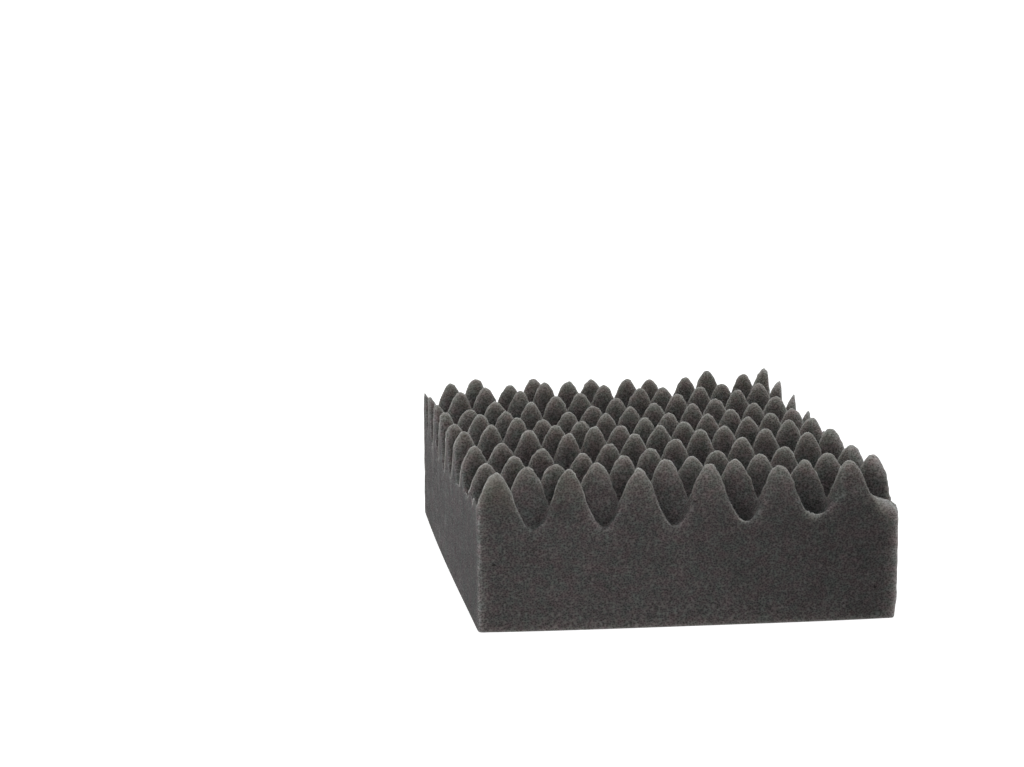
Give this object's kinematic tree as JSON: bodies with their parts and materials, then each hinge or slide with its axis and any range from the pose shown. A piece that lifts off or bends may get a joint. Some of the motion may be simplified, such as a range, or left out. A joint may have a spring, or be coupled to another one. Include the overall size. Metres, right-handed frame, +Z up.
{
  "type": "wash sponge",
  "caption": "Oblong block of dark grey open-cell foam with a flat underside and an egg-crate face of staggered round-tipped peaks, cut square on four sides.",
  "frame": {"origin": "middle of the flat underside, on the surface that the sponge lies on", "axes": "+Z up out of the egg-crate face, +X along the short side, +Y along the long side; the front cut is at -Y"},
  "size_m": [0.13, 0.18, 0.051],
  "materials": {
    "foam": "matte"
  },
  "bodies": {
    "root": {"foam_block": "foam"}
  },
  "joints": []
}
